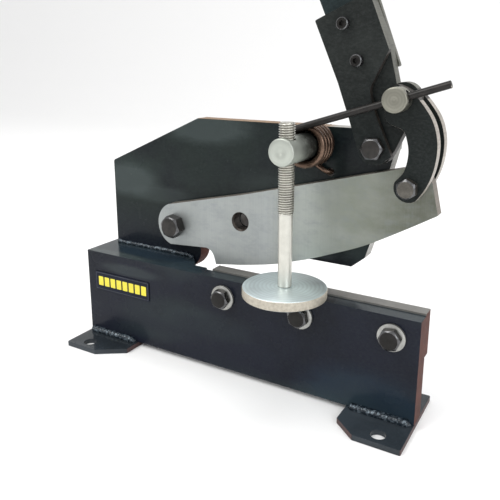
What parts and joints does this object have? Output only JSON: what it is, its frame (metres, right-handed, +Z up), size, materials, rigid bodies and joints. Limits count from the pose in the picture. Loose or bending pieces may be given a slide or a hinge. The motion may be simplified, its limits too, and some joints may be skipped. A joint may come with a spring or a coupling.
{
  "type": "hand lever plate shear",
  "caption": "Bench plate shear: a hand lever drives an arched blade past a fixed blade through C-shaped links, with a return spring and screw hold-down",
  "frame": {"origin": "on the bench, under the centre of the object's overall box", "axes": "+X along the base towards the lever's end, +Y from front to back, +Z up"},
  "size_m": [0.3724, 0.129, 0.8543],
  "materials": {
    "base_paint": "gloss dark navy",
    "ground_steel": "ground",
    "lever_paint": "satin black-blue",
    "black_oxide": "black oxide",
    "zinc": "bright zinc",
    "spring_steel": "oil tempered",
    "rubber": "moulded",
    "label": "printed film, no lettering"
  },
  "bodies": {
    "frame": {"base_angle": "base_paint", "foot_left": "base_paint", "foot_right": "base_paint", "gusset": "base_paint", "body_plate": "base_paint", "weld_body_front": "base_paint", "weld_body_rear": "base_paint", "weld_foot_left": "base_paint", "weld_foot_right": "base_paint", "lower_blade": "ground_steel", "label_plate": "label", "support_shaft": "zinc", "shaft_washer": "zinc", "shaft_nut": "black_oxide", "spring_coil": "spring_steel", "spring_hook": "spring_steel", "blade_bolt_left": "black_oxide", "blade_bolt_middle": "black_oxide", "blade_bolt_right": "black_oxide", "blade_washer_left": "zinc", "blade_washer_middle": "zinc", "blade_washer_right": "zinc", "blade_pivot_bolt": "black_oxide", "blade_pivot_washer": "zinc", "blade_pivot_nut": "black_oxide", "lever_pivot_bolt": "black_oxide", "lever_pivot_washer": "zinc", "lever_pivot_nut": "black_oxide"},
    "lever": {"lever_core": "lever_paint", "cheek_front": "lever_paint", "cheek_rear": "lever_paint", "handle_bar": "lever_paint", "grip": "rubber", "handle_screw_low": "black_oxide", "handle_screw_high": "black_oxide", "handle_nut_low": "black_oxide", "handle_nut_high": "black_oxide"},
    "upper_blade": {"upper_blade": "ground_steel"},
    "links": {"link_front": "lever_paint", "link_rear": "lever_paint", "link_bolt": "black_oxide", "link_nut": "black_oxide"},
    "link_pin": {"link_pin": "zinc", "pin_washer": "zinc", "pin_ring": "zinc"},
    "spring_arm": {"spring_arm": "spring_steel"},
    "hold_down_foot": {"hold_down_foot": "zinc"},
    "hold_down_screw": {"hold_down_screw": "zinc"}
  },
  "joints": [
    {"name": "lever_swing", "type": "hinge", "parent": "frame", "child": "lever", "pos_m": [0.1234, 0.02515, 0.23], "axis": [0, 1, 0], "range_deg": [0, 110], "stiffness_Nm_per_rad": 6},
    {"name": "blade_swing", "type": "hinge", "parent": "frame", "child": "upper_blade", "pos_m": [-0.0858, 0.02515, 0.1336], "axis": [0, 1, 0], "range_deg": [0, 17.5]},
    {"name": "link_swing", "type": "hinge", "parent": "upper_blade", "child": "links", "pos_m": [0.155, 0.02515, 0.2011], "axis": [0, 1, 0], "range_deg": [-12, 0]},
    {"name": "pin_swivel", "type": "hinge", "parent": "links", "child": "link_pin", "pos_m": [0.1438, 0.02515, 0.2705], "axis": [0, 1, 0], "range_deg": [0, 41.8]},
    {"name": "spring_arm_swing", "type": "hinge", "parent": "frame", "child": "spring_arm", "pos_m": [0.0652, 0.00145, 0.2285], "axis": [0, 1, 0], "range_deg": [0, 47.3], "deforming": ["spring_coil"]},
    {"name": "hold_down_travel", "type": "slide", "parent": "frame", "child": "hold_down_foot", "axis": [0, 0, 1], "range_m": [-0.004, 0.038]},
    {"name": "hold_down_turn", "type": "hinge", "parent": "hold_down_foot", "child": "hold_down_screw", "pos_m": [0.0652, -0.02815, 0.18], "axis": [0, 0, 1], "range_deg": [-722, 6842]}
  ],
  "couplings": [
    {"joint": "blade_swing", "follows": "lever_swing", "ratio": 0.159},
    {"joint": "link_swing", "follows": "lever_swing", "ratio": -0.109},
    {"joint": "pin_swivel", "follows": "lever_swing", "ratio": 0.379},
    {"joint": "spring_arm_swing", "follows": "lever_swing", "ratio": 0.429},
    {"joint": "hold_down_turn", "follows": "hold_down_travel", "rad_per_m": 3141.6}
  ]
}
